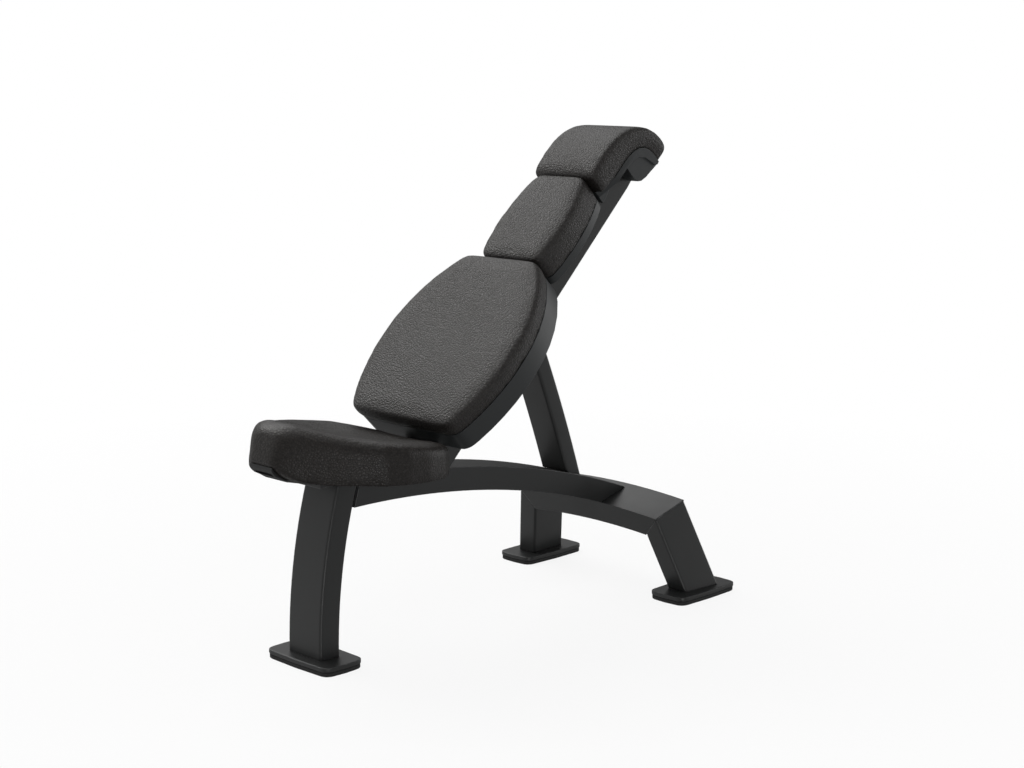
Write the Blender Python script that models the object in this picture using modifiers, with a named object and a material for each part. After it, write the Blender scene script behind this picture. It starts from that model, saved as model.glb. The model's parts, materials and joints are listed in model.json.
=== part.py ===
"""Adjustable weight bench: curved tube frame, hinged backrest, four moulded pads.

Metres, +Z up, X across the bench, the sitter faces -Y.  The side profile is drawn
with y = 0 at the middle of the front foot and then moved back by MIDDLE_Y, which
puts the origin under the middle of the bench.
"""
import math

import bmesh
import bpy
from mathutils import Euler, Matrix, Vector

MIDDLE_Y = 0.4315           # from the front foot's middle to the origin
GAP = 0.0003                # clearance between touching pieces

# Frame tube, 100 x 50 mm with 4 mm walls.
TUBE_WIDE = 0.100
TUBE_DEEP = 0.050
TUBE_WALL = 0.004
TUBE_EDGE = 0.006

# Feet: a steel plate on a rubber plate.
FOOT_LONG = 0.188
FOOT_SHORT = 0.097
FOOT_CORNER = 0.020
FOOT_BOW = 0.003
RUBBER_HIGH = 0.0090
PLATE_HIGH = 0.0092
FOOT_TOP = RUBBER_HIGH + GAP + PLATE_HIGH
REAR_FOOT_X = 0.2336
REAR_FOOT_Y = 0.890

# Front leg: an arc that is upright at the foot.
LEG_RADIUS = 1.150
LEG_FRONT_Y = -0.0259
LEG_CENTRE = (LEG_FRONT_Y + LEG_RADIUS, 0.020)
LEG_TOP = 0.3600

# Main beam: an arc that is level just behind the leg.
BEAM_RADIUS = 2.140
BEAM_CENTRE = (0.100, 0.3607 - BEAM_RADIUS)
FLANGE_THICK = 0.003

# Rear frame: an arch on two splayed legs, leaning forwards.
REAR_LEAN = math.radians(15.8)
REAR_BASE_Y = 0.8892
ARCH_HALF = 0.188
ARCH_SPRING = 0.1626
ARCH_RISE = 0.0107
REAR_LEG_FOOT_X = 0.2347

# Support strut, 76 x 40 mm.
STRUT_WIDE = 0.076
STRUT_DEEP = 0.0406
STRUT_RADIUS = 3.4712
STRUT_CENTRE = (-2.5963, -0.8496)

# Backrest at rest: 45 degrees, measured along s (up the slope) and n (off its face).
INCLINE = math.radians(45)
SPINE_FOOT = (0.3240, 0.3471)
SPINE_LENGTH = 0.792
HINGE = (0.2800, 0.3880)
HINGE_PIN_RADIUS = 0.006
BUSH_RADIUS = 0.0085
EYE_RADIUS = 0.0135

# Adjuster: a curved bar about the hinge, inside the strut.
BAR_RADIUS = 0.3635
BAR_DEEP = 0.016
BAR_THICK = 0.014
BAR_LOW = math.radians(9.5)
BAR_HIGH = math.radians(40.5)
BUMP_THICK = 0.007
LOCK_ANGLE = math.radians(30.5)
LOCK_STEP = math.radians(5)
LOCK_HOLES = 3
LOCK_PIN_RADIUS = 0.004

# Pads: half widths, ends along s, and layers along n.
MAIN_PAD = dict(low=0.013, high=0.432, low_half=0.143, high_half=0.103,
                bulge=((0.205, 0.120), (0.230, 0.300)), line=0.115, face=0.156, base=0.0685)
MID_PAD = dict(low=0.4455, high=0.677, low_half=0.084, high_half=0.070,
               bulge=((0.101, 0.520), (0.100, 0.600)), line=0.078, face=0.142, base=0.0585)
BOARD_THICK = 0.012
BOARD_INSET = 0.022

parts = None
cutters = None
materials = {}


# ---------------------------------------------------------------- scene helpers

def clear_scene():
    for old in list(bpy.data.objects):
        bpy.data.objects.remove(old, do_unlink=True)


def make_collections():
    global parts, cutters
    parts = bpy.data.collections.new("adjustable_weight_bench")
    cutters = bpy.data.collections.new("cutters")
    bpy.context.scene.collection.children.link(parts)
    bpy.context.scene.collection.children.link(cutters)


def material(name, colour, roughness, metallic=0.0):
    mat = bpy.data.materials.new(name)
    mat.use_nodes = True
    shader = mat.node_tree.nodes["Principled BSDF"]
    shader.inputs["Base Color"].default_value = (*colour, 1.0)
    shader.inputs["Roughness"].default_value = roughness
    shader.inputs["Metallic"].default_value = metallic
    return mat


LOOKS = {
    "coat": ((0.032, 0.034, 0.034), 0.42, 0.3),
    "vinyl": ((0.040, 0.037, 0.034), 0.55, 0.0),
    "shell": ((0.045, 0.050, 0.052), 0.35, 0.0),
    "board": ((0.32, 0.20, 0.10), 0.70, 0.0),
    "rubber": ((0.012, 0.012, 0.012), 0.80, 0.0),
    "zinc": ((0.45, 0.45, 0.46), 0.35, 1.0),
    "nylon": ((0.03, 0.03, 0.032), 0.50, 0.0),
    "spring": ((0.35, 0.35, 0.36), 0.30, 1.0),
}


def give_look(obj, look):
    colour, roughness, metallic = LOOKS[look]
    mat = material(obj.name, colour, roughness, metallic)
    obj.data.materials.clear()
    obj.data.materials.append(mat)


def new_object(name, mesh, cutter=False):
    obj = bpy.data.objects.new(name, mesh)
    (cutters if cutter else parts).objects.link(obj)
    if cutter:
        obj.hide_render = True
        obj.display_type = "WIRE"
    return obj


def cut(target, cutter, operation="DIFFERENCE"):
    mod = target.modifiers.new("cut_" + cutter.name, "BOOLEAN")
    mod.operation = operation
    mod.solver = "EXACT"
    mod.object = cutter


# ---------------------------------------------------------------- frames of reference

def side_frame(y=0.0, z=0.0):
    """Drawing plane y-z, depth along X."""
    return Matrix.Translation((0, y - MIDDLE_Y, z)) @ Euler(
        (math.radians(90), 0, math.radians(90))).to_matrix().to_4x4()


def pad_frame(origin=SPINE_FOOT):
    """Drawing plane x-s of the backrest, depth along n."""
    return Matrix.Translation((0, origin[0] - MIDDLE_Y, origin[1])) @ Matrix.Rotation(
        INCLINE, 4, "X")


def spine_frame(origin=SPINE_FOOT):
    """Drawing plane s-n of the backrest, depth along X."""
    turn = Matrix(((0, 0, 1), (math.cos(INCLINE), -math.sin(INCLINE), 0),
                   (math.sin(INCLINE), math.cos(INCLINE), 0))).to_4x4()
    return Matrix.Translation((0, origin[0] - MIDDLE_Y, origin[1])) @ turn


def rear_frame():
    """Drawing plane x-v of the leaning rear frame, depth along its normal."""
    return Matrix.Translation((0, REAR_BASE_Y - MIDDLE_Y, FOOT_TOP)) @ Matrix.Rotation(
        math.radians(90) + REAR_LEAN, 4, "X")


def slope_to_side(s, n):
    """Backrest s, n to the side profile's y, z."""
    y = SPINE_FOOT[0] + s * math.cos(INCLINE) - n * math.sin(INCLINE)
    z = SPINE_FOOT[1] + s * math.sin(INCLINE) + n * math.cos(INCLINE)
    return y, z


def side_to_slope(y, z):
    dy = y - SPINE_FOOT[0]
    dz = z - SPINE_FOOT[1]
    return (dy * math.cos(INCLINE) + dz * math.sin(INCLINE),
            dz * math.cos(INCLINE) - dy * math.sin(INCLINE))


# ---------------------------------------------------------------- solids

def outline_mesh(name, outline, half):
    """A flat outline given thickness on both sides of its plane."""
    curve = bpy.data.curves.new(name, "CURVE")
    curve.dimensions = "2D"
    curve.fill_mode = "BOTH"
    curve.extrude = half
    spline = curve.splines.new("POLY")
    spline.points.add(len(outline) - 1)
    for point, (u, v) in zip(spline.points, outline):
        point.co = (u, v, 0.0, 1.0)
    spline.use_cyclic_u = True
    maker = bpy.data.objects.new(name + "_outline", curve)
    mesh = bpy.data.meshes.new_from_object(maker)
    bpy.data.objects.remove(maker)
    bpy.data.curves.remove(curve)
    mesh.name = name
    bm = bmesh.new()
    bm.from_mesh(mesh)
    bmesh.ops.remove_doubles(bm, verts=bm.verts, dist=0.00001)
    bmesh.ops.recalc_face_normals(bm, faces=bm.faces)
    bm.to_mesh(mesh)
    bm.free()
    return mesh


def outline_solid(name, outline, half, frame, cutter=False):
    obj = new_object(name, outline_mesh(name, outline, half), cutter)
    obj.matrix_world = frame
    return obj


def near_end(point, ends):
    return any((Vector(point[:2]) - Vector(end)).length < 1e-4 for end in ends)


def round_long_edges(obj, half, ends, radius=TUBE_EDGE, segments=3):
    """Bevel the edges that run along a tube, not those of its cut ends."""
    mesh = obj.data
    weights = mesh.attributes.new("bevel_weight_edge", "FLOAT", "EDGE")
    for edge in mesh.edges:
        a, b = (mesh.vertices[i].co for i in edge.vertices)
        on_side = abs(abs(a.z) - half) < 1e-5 and abs(a.z - b.z) < 1e-5
        is_end = near_end(a, ends) and near_end(b, ends)
        at_rim = sum(1 for poly in mesh.polygons if abs(poly.normal.z) < 0.5
                     and edge.key in poly.edge_keys)
        weights.data[edge.index].value = 1.0 if on_side and at_rim and not is_end else 0.0
    bevel = obj.modifiers.new("rounded", "BEVEL")
    bevel.limit_method = "WEIGHT"
    bevel.width = radius
    bevel.segments = segments


def add_bevel(obj, width, segments=2, angle=40):
    bevel = obj.modifiers.new("bevel", "BEVEL")
    bevel.limit_method = "ANGLE"
    bevel.angle_limit = math.radians(angle)
    bevel.width = width
    bevel.segments = segments


def box(name, low, high, cutter=False):
    """An axis-aligned block between two corners of the side profile's space."""
    centre = (Vector(low) + Vector(high)) / 2
    size = Vector(high) - Vector(low)
    bm = bmesh.new()
    bmesh.ops.create_cube(bm, size=1.0)
    bmesh.ops.scale(bm, vec=size, verts=bm.verts)
    mesh = bpy.data.meshes.new(name)
    bm.to_mesh(mesh)
    bm.free()
    obj = new_object(name, mesh, cutter)
    obj.location = (centre.x, centre.y - MIDDLE_Y, centre.z)
    return obj


def cylinder(name, start, end, radius, sides=20, cutter=False, end_radius=None):
    """A round bar between two points of the side profile's space."""
    start = Vector(start)
    end = Vector(end)
    bm = bmesh.new()
    bmesh.ops.create_cone(bm, cap_ends=True, segments=sides, radius1=radius,
                          radius2=radius if end_radius is None else end_radius,
                          depth=(end - start).length)
    mesh = bpy.data.meshes.new(name)
    bm.to_mesh(mesh)
    bm.free()
    obj = new_object(name, mesh, cutter)
    obj.rotation_euler = (end - start).to_track_quat("Z", "Y").to_euler()
    centre = (start + end) / 2
    obj.location = (centre.x, centre.y - MIDDLE_Y, centre.z)
    return obj


def tube(name, start, end, outer, inner, sides=20):
    obj = cylinder(name, start, end, outer, sides)
    start = Vector(start)
    end = Vector(end)
    over = (end - start).normalized() * 0.01
    hole = cylinder(name + "_hole", start - over, end + over, inner, sides, cutter=True)
    cut(obj, hole)
    return obj


def turned(name, start, axis, profile, sides=24):
    """A turned piece: Screw round local Z, profile from its top to its bottom."""
    mesh = bpy.data.meshes.new(name)
    mesh.from_pydata([(r, 0.0, h) for r, h in profile],
                     [(i, i + 1) for i in range(len(profile) - 1)], [])
    obj = new_object(name, mesh)
    screw = obj.modifiers.new("turned", "SCREW")
    screw.steps = sides
    screw.render_steps = sides
    screw.use_merge_vertices = True
    screw.merge_threshold = 0.00005
    obj.rotation_euler = Vector(axis).to_track_quat("Z", "Y").to_euler()
    obj.location = (start[0], start[1] - MIDDLE_Y, start[2])
    return obj


def loft(name, rings, cutter=False):
    """Closed rings of equal counts joined in order, with flat ends."""
    count = len(rings[0])
    verts = [point for ring in rings for point in ring]
    faces = []
    for level in range(len(rings) - 1):
        base = level * count
        for i in range(count):
            j = (i + 1) % count
            faces.append((base + i, base + j, base + count + j, base + count + i))
    faces.append(tuple(range(count - 1, -1, -1)))
    last = (len(rings) - 1) * count
    faces.append(tuple(last + i for i in range(count)))
    mesh = bpy.data.meshes.new(name)
    mesh.from_pydata(verts, [], faces)
    bm = bmesh.new()
    bm.from_mesh(mesh)
    bmesh.ops.recalc_face_normals(bm, faces=bm.faces)
    bm.to_mesh(mesh)
    bm.free()
    return new_object(name, mesh, cutter)


def attach(child, parent):
    bpy.context.view_layer.update()
    world = child.matrix_world.copy()
    child.parent = parent
    child.matrix_parent_inverse = parent.matrix_world.inverted()
    child.matrix_world = world


def set_origin(obj, y, z):
    """Move an object's origin to a point of the side profile, keeping its shape."""
    bpy.context.view_layer.update()
    target = Matrix.Translation((0, y - MIDDLE_Y, z)) @ obj.matrix_world.to_3x3().to_4x4()
    obj.data.transform(target.inverted() @ obj.matrix_world)
    obj.matrix_world = target


# ---------------------------------------------------------------- arcs and outlines

def arc_points(centre, radius, start, end, steps):
    points = []
    for i in range(steps + 1):
        a = start + (end - start) * i / steps
        points.append((centre[0] + radius * math.cos(a), centre[1] + radius * math.sin(a)))
    return points


def bezier(a, b, c, d, steps):
    points = []
    for i in range(steps + 1):
        t = i / steps
        u = 1 - t
        weights = (u ** 3, 3 * u * u * t, 3 * u * t * t, t ** 3)
        points.append(tuple(sum(w * p[k] for w, p in zip(weights, (a, b, c, d)))
                            for k in range(2)))
    return points


def foot_outline(grow=0.0):
    """A plate with bowed sides and round corners."""
    long = FOOT_LONG / 2 + grow
    short = FOOT_SHORT / 2 + grow
    corners = [(-long, -short), (0, -short - FOOT_BOW), (long, -short), (long + FOOT_BOW, 0),
               (long, short), (0, short + FOOT_BOW), (-long, short), (-long - FOOT_BOW, 0)]
    result = []
    for i in range(0, 8, 2):
        trio = [corners[i - 1], corners[i], corners[(i + 1) % 8]]
        here = Vector(trio[1])
        start = here + (Vector(trio[0]) - here).normalized() * FOOT_CORNER
        end = here + (Vector(trio[2]) - here).normalized() * FOOT_CORNER
        for k in range(6):
            t = k / 5
            result.append(tuple(start.lerp(here, t).lerp(here.lerp(end, t), t)))
        result.append(trio[2])
    return result


# ---------------------------------------------------------------- frame

def make_foot(name, x, y, turn):
    frame = Matrix.Translation((x, y - MIDDLE_Y, 0)) @ Matrix.Rotation(turn, 4, "Z")
    rubber = outline_solid("foot_pad_" + name, foot_outline(-0.001), RUBBER_HIGH / 2,
                           frame @ Matrix.Translation((0, 0, RUBBER_HIGH / 2)))
    add_bevel(rubber, 0.0012, 1)
    give_look(rubber, "rubber")
    middle = RUBBER_HIGH + GAP + PLATE_HIGH / 2
    plate = outline_solid("foot_plate_" + name, foot_outline(), PLATE_HIGH / 2,
                          frame @ Matrix.Translation((0, 0, middle)))
    add_bevel(plate, 0.0018, 2)
    give_look(plate, "coat")


def leg_y(z, radius):
    return LEG_CENTRE[0] - math.sqrt(radius ** 2 - (z - LEG_CENTRE[1]) ** 2)


def leg_outline(inset, low, high, steps=12):
    front = []
    rear = []
    for i in range(steps + 1):
        z = low + (high - low) * i / steps
        front.append((leg_y(z, LEG_RADIUS - inset), z))
        rear.append((leg_y(z, LEG_RADIUS - TUBE_DEEP + inset), z))
    return front + rear[::-1]


def make_front_leg():
    low = FOOT_TOP + GAP
    outline = leg_outline(0.0, low, LEG_TOP)
    leg = outline_solid("front_leg", outline, TUBE_WIDE / 2, side_frame())
    steps = 12
    ends = [outline[0], outline[-1], outline[steps], outline[steps + 1]]
    round_long_edges(leg, TUBE_WIDE / 2, ends)
    hollow = outline_solid("front_leg_inside", leg_outline(TUBE_WALL, low - 0.01, LEG_TOP + 0.01),
                           TUBE_WIDE / 2 - TUBE_WALL, side_frame(), cutter=True)
    cut(leg, hollow)
    give_look(leg, "coat")
    cap = outline_solid("leg_cap", leg_outline(TUBE_WALL + GAP, LEG_TOP - 0.006, LEG_TOP, 2),
                        TUBE_WIDE / 2 - TUBE_WALL - GAP, side_frame())
    give_look(cap, "nylon")


def beam_z(y, radius=BEAM_RADIUS):
    return BEAM_CENTRE[1] + math.sqrt(radius ** 2 - (y - BEAM_CENTRE[0]) ** 2)


def flange_face(offset, inward=0.0):
    """The leg's rear face between the beam's bottom and top, moved back by offset."""
    low_z = BEAM_CENTRE[1] + BEAM_RADIUS - TUBE_DEEP - 0.0006 + inward
    high_z = BEAM_CENTRE[1] + BEAM_RADIUS - 0.0008 - inward
    radius = LEG_RADIUS - TUBE_DEEP - offset
    return (leg_y(low_z, radius), low_z), (leg_y(high_z, radius), high_z)


def arch_top_line(offset):
    """Front and rear points of the cross-member's top face, raised by offset."""
    height = ARCH_SPRING + ARCH_RISE + TUBE_DEEP / 2 + offset
    up = Vector((-math.sin(REAR_LEAN), math.cos(REAR_LEAN)))
    back = Vector((math.cos(REAR_LEAN), math.sin(REAR_LEAN)))
    middle = Vector((REAR_BASE_Y, FOOT_TOP)) + up * height
    return middle - back * TUBE_WIDE / 2, middle + back * TUBE_WIDE / 2


def meet_arch(radius, offset):
    """Where a beam arc meets the plane of the cross-member's top face."""
    front, rear = arch_top_line(offset)
    direction = (rear - front).normalized()
    to_centre = front - Vector(BEAM_CENTRE)
    half_b = to_centre.dot(direction)
    root = math.sqrt(half_b ** 2 - to_centre.length_squared + radius ** 2)
    return front + direction * (root - half_b)


def beam_outline(inset, front_low, front_high, rear_low, rear_high, steps=22):
    top = []
    bottom = []
    for i in range(steps + 1):
        t = i / steps
        y = front_high[0] + (rear_high[0] - front_high[0]) * t
        top.append((y, beam_z(y, BEAM_RADIUS - inset)))
        y = front_low[0] + (rear_low[0] - front_low[0]) * t
        bottom.append((y, beam_z(y, BEAM_RADIUS - TUBE_DEEP + inset)))
    return top + bottom[::-1]


def make_beam():
    front_low, front_high = flange_face(FLANGE_THICK + 2 * GAP)
    front_low = (front_low[0], 0)
    rear_high = meet_arch(BEAM_RADIUS, GAP)
    rear_low = meet_arch(BEAM_RADIUS - TUBE_DEEP, GAP)
    outline = beam_outline(0.0, front_low, front_high, rear_low, rear_high)
    beam = outline_solid("main_beam", outline, TUBE_WIDE / 2, side_frame())
    ends = [outline[0], outline[-1], outline[22], outline[23]]
    round_long_edges(beam, TUBE_WIDE / 2, ends)
    inside = beam_outline(TUBE_WALL, (front_low[0] - 0.01, 0), (front_high[0] - 0.01, 0),
                          (rear_low[0] + 0.02, 0), (rear_high[0] + 0.02, 0))
    hollow = outline_solid("main_beam_inside", inside, TUBE_WIDE / 2 - TUBE_WALL,
                           side_frame(), cutter=True)
    cut(beam, hollow)
    give_look(beam, "coat")
    inward = 0.002
    low_a, high_a = flange_face(GAP, inward)
    low_b, high_b = flange_face(GAP + FLANGE_THICK, inward)
    flange = outline_solid("leg_flange", [low_a, low_b, high_b, high_a],
                           TUBE_WIDE / 2 - inward, side_frame())
    give_look(flange, "coat")


def arch_ring(offset):
    """Cross-member arc, foot end of the leg line, and their meeting point."""
    radius = (ARCH_HALF ** 2 + ARCH_RISE ** 2) / (2 * ARCH_RISE)
    centre = ARCH_SPRING + ARCH_RISE - radius
    down = Vector((REAR_LEG_FOOT_X - ARCH_HALF, -ARCH_SPRING)).normalized()
    outward = Vector((-down.y, down.x))
    start = Vector((ARCH_HALF, ARCH_SPRING)) + outward * offset
    reach = radius + offset
    from_centre = start - Vector((0, centre))
    half_b = from_centre.dot(down)
    root = math.sqrt(half_b ** 2 - from_centre.length_squared + reach ** 2)
    step = min((-half_b - root, -half_b + root), key=abs)
    corner = start + down * step
    foot = start + down * (start.y + 0.04) / -down.y
    return radius + offset, centre, corner, foot


def arch_side(offset, steps, over=0.0):
    radius, centre, corner, _ = arch_ring(offset)
    reach = math.asin(corner.x / radius) + over
    return [(radius * math.sin(reach * (2 * i / steps - 1)),
             centre + radius * math.cos(reach * (2 * i / steps - 1)))
            for i in range(steps + 1)]


def mitre_shift(point, other, amount):
    """Move a mitre's two points off its line by amount."""
    along = (other - point).normalized()
    return Vector((along.y, -along.x)) * amount


def make_rear_frame():
    steps = 12
    half = TUBE_DEEP / 2
    outline = arch_side(half, steps) + arch_side(-half, steps)[::-1]
    member = outline_solid("rear_crossmember", outline, TUBE_WIDE / 2, rear_frame())
    ends = [outline[0], outline[steps], outline[steps + 1], outline[-1]]
    round_long_edges(member, TUBE_WIDE / 2, ends)
    inner = half - TUBE_WALL
    inside = arch_side(inner, steps, 0.02) + arch_side(-inner, steps, 0.02)[::-1]
    cut(member, outline_solid("rear_crossmember_inside", inside, TUBE_WIDE / 2 - TUBE_WALL,
                              rear_frame(), cutter=True))
    give_look(member, "coat")
    floor = box("floor_cut", (-0.5, 0.6, -0.2), (0.5, 1.2, FOOT_TOP + GAP), cutter=True)
    for side, name in ((-1, "left"), (1, "right")):
        leg = make_rear_leg("rear_leg_" + name, side)
        cut(leg, floor)


def make_rear_leg(name, side):
    half = TUBE_DEEP / 2
    _, _, outer_corner, outer_foot = arch_ring(half)
    _, _, inner_corner, inner_foot = arch_ring(-half)
    shift = mitre_shift(inner_corner, outer_corner, GAP)
    outline = [outer_corner + shift, outer_foot, inner_foot, inner_corner + shift]
    down = (outer_foot - outer_corner).normalized()
    outward = Vector((-down.y, down.x)) * TUBE_WALL
    inside = [outer_corner - outward - down * 0.05, outer_foot - outward + down * 0.01,
              inner_foot + outward + down * 0.01, inner_corner + outward - down * 0.05]
    if side < 0:
        outline = [(-p.x, p.y) for p in outline][::-1]
        inside = [(-p.x, p.y) for p in inside][::-1]
    outline = [tuple(p) for p in outline]
    inside = [tuple(p) for p in inside]
    leg = outline_solid(name, outline, TUBE_WIDE / 2, rear_frame())
    top = (outline[0], outline[3])
    bottom = (outline[1], outline[2])
    round_two_ends(leg, top, bottom)
    cut(leg, outline_solid(name + "_inside", inside, TUBE_WIDE / 2 - TUBE_WALL,
                           rear_frame(), cutter=True))
    give_look(leg, "coat")
    return leg


def round_two_ends(obj, top, bottom):
    mesh = obj.data
    half = TUBE_WIDE / 2
    weights = mesh.attributes.new("bevel_weight_edge", "FLOAT", "EDGE")
    for edge in mesh.edges:
        a, b = (mesh.vertices[i].co for i in edge.vertices)
        on_side = abs(abs(a.z) - half) < 1e-5 and abs(a.z - b.z) < 1e-5
        ends_top = near_end(a, top) and near_end(b, top)
        ends_low = near_end(a, bottom) and near_end(b, bottom)
        spans = (near_end(a, top) and near_end(b, bottom)) or (
            near_end(b, top) and near_end(a, bottom))
        same = any(near_end(a, (p,)) and near_end(b, (q,)) or near_end(b, (p,)) and near_end(a, (q,))
                   for p, q in zip(top, bottom))
        keep = on_side and spans and same and not ends_top and not ends_low
        weights.data[edge.index].value = 1.0 if keep else 0.0
    bevel = obj.modifiers.new("rounded", "BEVEL")
    bevel.limit_method = "WEIGHT"
    bevel.width = TUBE_EDGE
    bevel.segments = 3


def strut_side(radius, low_angle, high_angle, steps=10):
    return arc_points(STRUT_CENTRE, radius, low_angle, high_angle, steps)


def strut_meets_beam(radius):
    """The strut arc's angle where it stands on the beam."""
    low = math.radians(0)
    high = math.radians(30)
    for _ in range(60):
        middle = (low + high) / 2
        y = STRUT_CENTRE[0] + radius * math.cos(middle)
        z = STRUT_CENTRE[1] + radius * math.sin(middle)
        if z > beam_z(y) + 2 * GAP:
            high = middle
        else:
            low = middle
    return high


def strut_meets_spine(radius, n):
    """The strut arc's angle where it meets the plane at height n off the spine."""
    low = math.radians(10)
    high = math.radians(40)
    for _ in range(60):
        middle = (low + high) / 2
        y = STRUT_CENTRE[0] + radius * math.cos(middle)
        z = STRUT_CENTRE[1] + radius * math.sin(middle)
        if side_to_slope(y, z)[1] > n:
            high = middle
        else:
            low = middle
    return low


def make_strut():
    front = strut_side(STRUT_RADIUS, strut_meets_beam(STRUT_RADIUS),
                       strut_meets_spine(STRUT_RADIUS, -BUMP_THICK - 2 * GAP))
    rear = strut_side(STRUT_RADIUS + STRUT_DEEP, strut_meets_beam(STRUT_RADIUS + STRUT_DEEP),
                      strut_meets_spine(STRUT_RADIUS + STRUT_DEEP, -BUMP_THICK - 2 * GAP))
    outline = front + rear[::-1]
    strut = outline_solid("support_strut", outline, STRUT_WIDE / 2, side_frame())
    round_long_edges(strut, STRUT_WIDE / 2, [front[0], front[-1], rear[0], rear[-1]])
    low = strut_meets_beam(STRUT_RADIUS) - 0.01
    high = strut_meets_spine(STRUT_RADIUS, 0.0) + 0.01
    inside = (strut_side(STRUT_RADIUS + TUBE_WALL, low, high)
              + strut_side(STRUT_RADIUS + STRUT_DEEP - TUBE_WALL, low - 0.008, high)[::-1])
    cut(strut, outline_solid("support_strut_inside", inside, STRUT_WIDE / 2 - TUBE_WALL,
                             side_frame(), cutter=True))
    give_look(strut, "coat")
    return strut


# ---------------------------------------------------------------- backrest

def make_spine():
    """A straight tube whose foot is cut to stand on the beam behind the hinge."""
    lead = 0.0005
    foot_rear = slope_from_beam(0.0, lead)
    rest_y = HINGE[0] + 0.006
    corner = side_to_slope(rest_y, beam_z(rest_y) + lead)
    notch = 0.020
    outline = [(foot_rear, 0.0), corner, (notch, TUBE_DEEP), (SPINE_LENGTH, TUBE_DEEP),
               (SPINE_LENGTH, 0.0)]
    spine = outline_solid("back_spine", outline, TUBE_WIDE / 2, spine_frame())
    round_straight_edges(spine, TUBE_WIDE / 2)
    inside = [(-0.08, TUBE_WALL), (SPINE_LENGTH + 0.01, TUBE_WALL),
              (SPINE_LENGTH + 0.01, TUBE_DEEP - TUBE_WALL), (notch + 0.002, TUBE_DEEP - TUBE_WALL),
              (notch - 0.003, TUBE_DEEP + 0.02), (-0.08, TUBE_DEEP + 0.02)]
    cut(spine, outline_solid("back_spine_inside", inside, TUBE_WIDE / 2 - TUBE_WALL,
                             spine_frame(), cutter=True))
    give_look(spine, "coat")
    return spine


def slope_from_beam(n, lead):
    """The s at which the line of height n comes down to the beam."""
    low = -0.1
    high = 0.1
    for _ in range(60):
        middle = (low + high) / 2
        y, z = slope_to_side(middle, n)
        if z > beam_z(y) + lead:
            high = middle
        else:
            low = middle
    return high


def round_straight_edges(obj, half):
    """Bevel the four edges of the spine that run up its slope."""
    mesh = obj.data
    weights = mesh.attributes.new("bevel_weight_edge", "FLOAT", "EDGE")
    for edge in mesh.edges:
        a, b = (mesh.vertices[i].co for i in edge.vertices)
        long = abs(a.x - b.x) > 0.3 and abs(a.y - b.y) < 1e-4
        weights.data[edge.index].value = 1.0 if long and abs(a.z - b.z) < 1e-5 else 0.0
    bevel = obj.modifiers.new("rounded", "BEVEL")
    bevel.limit_method = "WEIGHT"
    bevel.width = TUBE_EDGE
    bevel.segments = 3


def pad_outline(pad, inset=0.0, corner=0.020, steps=12):
    """The barrel outline of a backrest pad in x and s."""
    low = pad["low"] + inset
    high = pad["high"] - inset
    side = bezier((pad["low_half"] - inset, low),
                  (pad["bulge"][0][0] - inset, pad["bulge"][0][1]),
                  (pad["bulge"][1][0] - inset, pad["bulge"][1][1]),
                  (pad["high_half"] - inset, high), steps)
    right = round_ends(side, corner)
    return right + [(-x, s) for x, s in right[::-1]]


def round_ends(side, corner):
    """Turn the first and last points of a side into round corners."""
    first = Vector(side[0])
    after = first + (Vector(side[1]) - first).normalized() * corner
    before = first - Vector((corner, 0))
    last = Vector(side[-1])
    up_to = last + (Vector(side[-2]) - last).normalized() * corner
    beyond = last - Vector((corner, 0))
    points = [tuple(before.lerp(first, t).lerp(first.lerp(after, t), t))
              for t in (0.0, 0.25, 0.5, 0.75, 1.0)]
    points += [p for p in side[1:-1]
               if after.y + 0.004 < p[1] < up_to.y - 0.004]
    points += [tuple(up_to.lerp(last, t).lerp(last.lerp(beyond, t), t))
               for t in (0.0, 0.25, 0.5, 0.75, 1.0)]
    return points


def pad_layer(name, pad, low, high, inset, look, corner=0.020):
    half = (high - low) / 2
    frame = pad_frame() @ Matrix.Translation((0, 0, (low + high) / 2))
    obj = outline_solid(name, pad_outline(pad, inset, corner), half, frame)
    give_look(obj, look)
    return obj


def rim_bevel(obj, top, radius, segments=3):
    """Round the rim of a flat layer on its top (+) or bottom (-) side."""
    mesh = obj.data
    level = max(v.co.z for v in mesh.vertices) * (1 if top else -1)
    weights = mesh.attributes.new("bevel_weight_edge", "FLOAT", "EDGE")
    for edge in mesh.edges:
        a, b = (mesh.vertices[i].co for i in edge.vertices)
        flat = abs(a.z - level) < 1e-5 and abs(b.z - level) < 1e-5
        at_rim = sum(1 for poly in mesh.polygons if abs(poly.normal.z) < 0.5
                     and edge.key in poly.edge_keys)
        weights.data[edge.index].value = 1.0 if flat and at_rim else 0.0
    bevel = obj.modifiers.new("rim", "BEVEL")
    bevel.limit_method = "WEIGHT"
    bevel.width = radius
    bevel.segments = segments


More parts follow.
